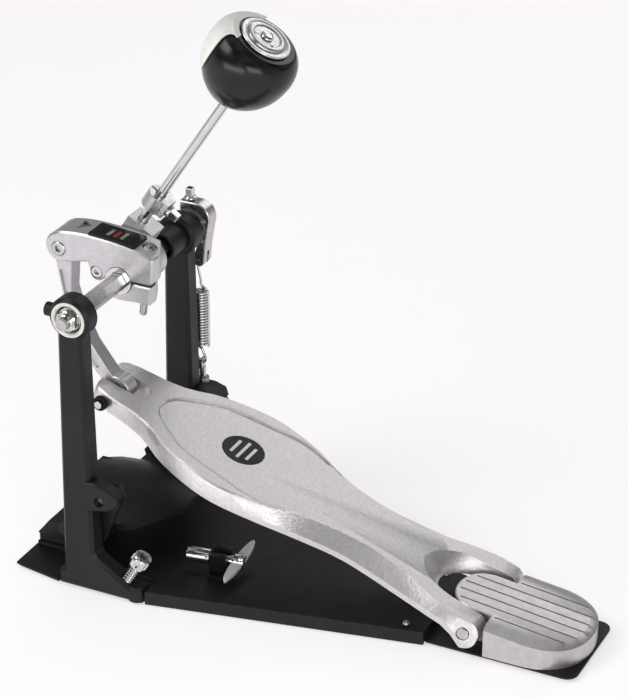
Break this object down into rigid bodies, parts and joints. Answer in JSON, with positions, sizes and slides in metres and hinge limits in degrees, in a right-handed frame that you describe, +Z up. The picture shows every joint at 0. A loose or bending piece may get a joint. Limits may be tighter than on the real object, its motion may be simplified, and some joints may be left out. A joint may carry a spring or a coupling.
{
  "type": "bass drum pedal",
  "caption": "Single bass drum pedal with cast footboard, rigid drive link, sprung axle, leaning beater and a hoop clamp at the front.",
  "frame": {"origin": "on the floor, straight below the axle, on the centre line of the base", "axes": "+Z up, +X towards the player's heel, -X towards the drum, +Y the spring side"},
  "size_m": [0.386, 0.183, 0.381],
  "materials": {
    "cast_aluminium": "satin cast",
    "chrome": "polished",
    "steel": "bright",
    "black_paint": "textured powder coat",
    "rubber": "matte",
    "black_plastic": "gloss",
    "felt": "pressed felt",
    "nylon": "satin"
  },
  "bodies": {
    "frame": {"base_plate": "black_paint", "base_tray": "black_paint", "floor_pad_front": "rubber", "floor_pad_middle": "rubber", "floor_pad_heel": "rubber", "tray_screw_left": "steel", "tray_screw_right": "steel", "left_post": "black_paint", "right_post": "black_paint", "left_bearing_outer": "nylon", "right_bearing_outer": "nylon", "heel_plate": "cast_aluminium", "heel_pin": "steel", "drum_key_clip": "black_plastic", "hoop_rest_pad": "rubber", "clamp_pivot_left": "steel", "clamp_pivot_right": "steel", "tension_nut_upper": "steel", "tension_nut_lower": "steel", "spring_tension_rod": "steel", "spring_lower_hook": "chrome"},
    "rocker": {"hex_axle": "chrome", "left_bearing_inner": "steel", "right_bearing_inner": "steel", "left_axle_washer": "chrome", "left_axle_nut": "chrome", "right_axle_washer": "chrome", "right_axle_nut": "chrome", "axle_sleeve": "chrome", "rocker_arm": "cast_aluminium", "rocker_badge": "black_plastic", "rocker_clamp_jaw": "cast_aluminium", "rocker_clamp_bolt": "chrome", "rocker_side_screw": "chrome", "link_upper_pin": "steel", "beater_holder": "cast_aluminium", "beater_holder_screw": "chrome", "spring_cam": "chrome", "spring_cam_bolt": "chrome", "spring_cam_pin": "steel"},
    "link": {"drive_link": "cast_aluminium"},
    "footboard": {"footboard": "cast_aluminium", "footboard_emblem": "black_paint", "toe_pin": "chrome", "toe_pin_grommet": "rubber"},
    "beater_rod": {"beater_rod": "chrome", "memory_lock": "chrome", "memory_lock_bolt": "chrome"},
    "beater_head": {"beater_body": "black_plastic", "beater_felt": "felt", "beater_hub": "steel", "beater_cap": "chrome", "beater_cap_screw": "chrome"},
    "spring_top": {"spring_upper_hook": "chrome", "spring_coil": "chrome"},
    "hoop_clamp": {"hoop_clamp": "black_paint", "hoop_jaw_pad_left": "rubber", "hoop_jaw_pad_right": "rubber"},
    "clamp_bolt": {"clamp_key_bolt": "chrome"},
    "key": {"drum_key": "chrome"}
  },
  "joints": [
    {"name": "axle_turn", "type": "hinge", "parent": "frame", "child": "rocker", "pos_m": [0, 0, 0.1985], "axis": [0, 1, 0], "range_deg": [-40, 0], "stiffness_Nm_per_rad": 1.2, "springref_deg": 34.38},
    {"name": "link_pivot", "type": "hinge", "parent": "rocker", "child": "link", "pos_m": [-0.044, 0, 0.2125], "axis": [0, 1, 0], "range_deg": [0, 46]},
    {"name": "footboard_hinge", "type": "hinge", "parent": "frame", "child": "footboard", "pos_m": [0.258, 0, 0.0185], "axis": [0, 1, 0], "range_deg": [-7.5, 0]},
    {"name": "rod_slide", "type": "slide", "parent": "rocker", "child": "beater_rod", "axis": [0.5563, 0, 0.831], "range_m": [-0.012, 0.015]},
    {"name": "head_turn", "type": "hinge", "parent": "beater_rod", "child": "beater_head", "pos_m": [0.0835, 0.0195, 0.35199], "axis": [0.5563, 0, 0.831], "range_deg": [0, 180]},
    {"name": "spring_travel", "type": "slide", "parent": "frame", "child": "spring_top", "axis": [0.7841, 0, 0.6206], "range_m": [0, 0.0175], "deforming": ["spring_coil"]},
    {"name": "clamp_tilt", "type": "hinge", "parent": "frame", "child": "hoop_clamp", "pos_m": [0.0175, 0, 0.0715], "axis": [0, 1, 0], "range_deg": [0, 11]},
    {"name": "clamp_bolt_turn", "type": "hinge", "parent": "frame", "child": "clamp_bolt", "pos_m": [0.0345, -0.0695, 0.0165], "axis": [0.5286, 0, 0.8489], "range_deg": [0, 2800]},
    {"name": "key_lift", "type": "slide", "parent": "frame", "child": "key", "axis": [0, 0, 1], "range_m": [0, 0.03]}
  ],
  "couplings": [
    {"joint": "link_pivot", "follows": "axle_turn", "ratio": -1.138},
    {"joint": "footboard_hinge", "follows": "axle_turn", "ratio": 0.18296},
    {"joint": "spring_travel", "follows": "axle_turn", "m_per_rad": -0.02426},
    {"joint": "clamp_bolt_turn", "follows": "clamp_tilt", "ratio": 252}
  ]
}
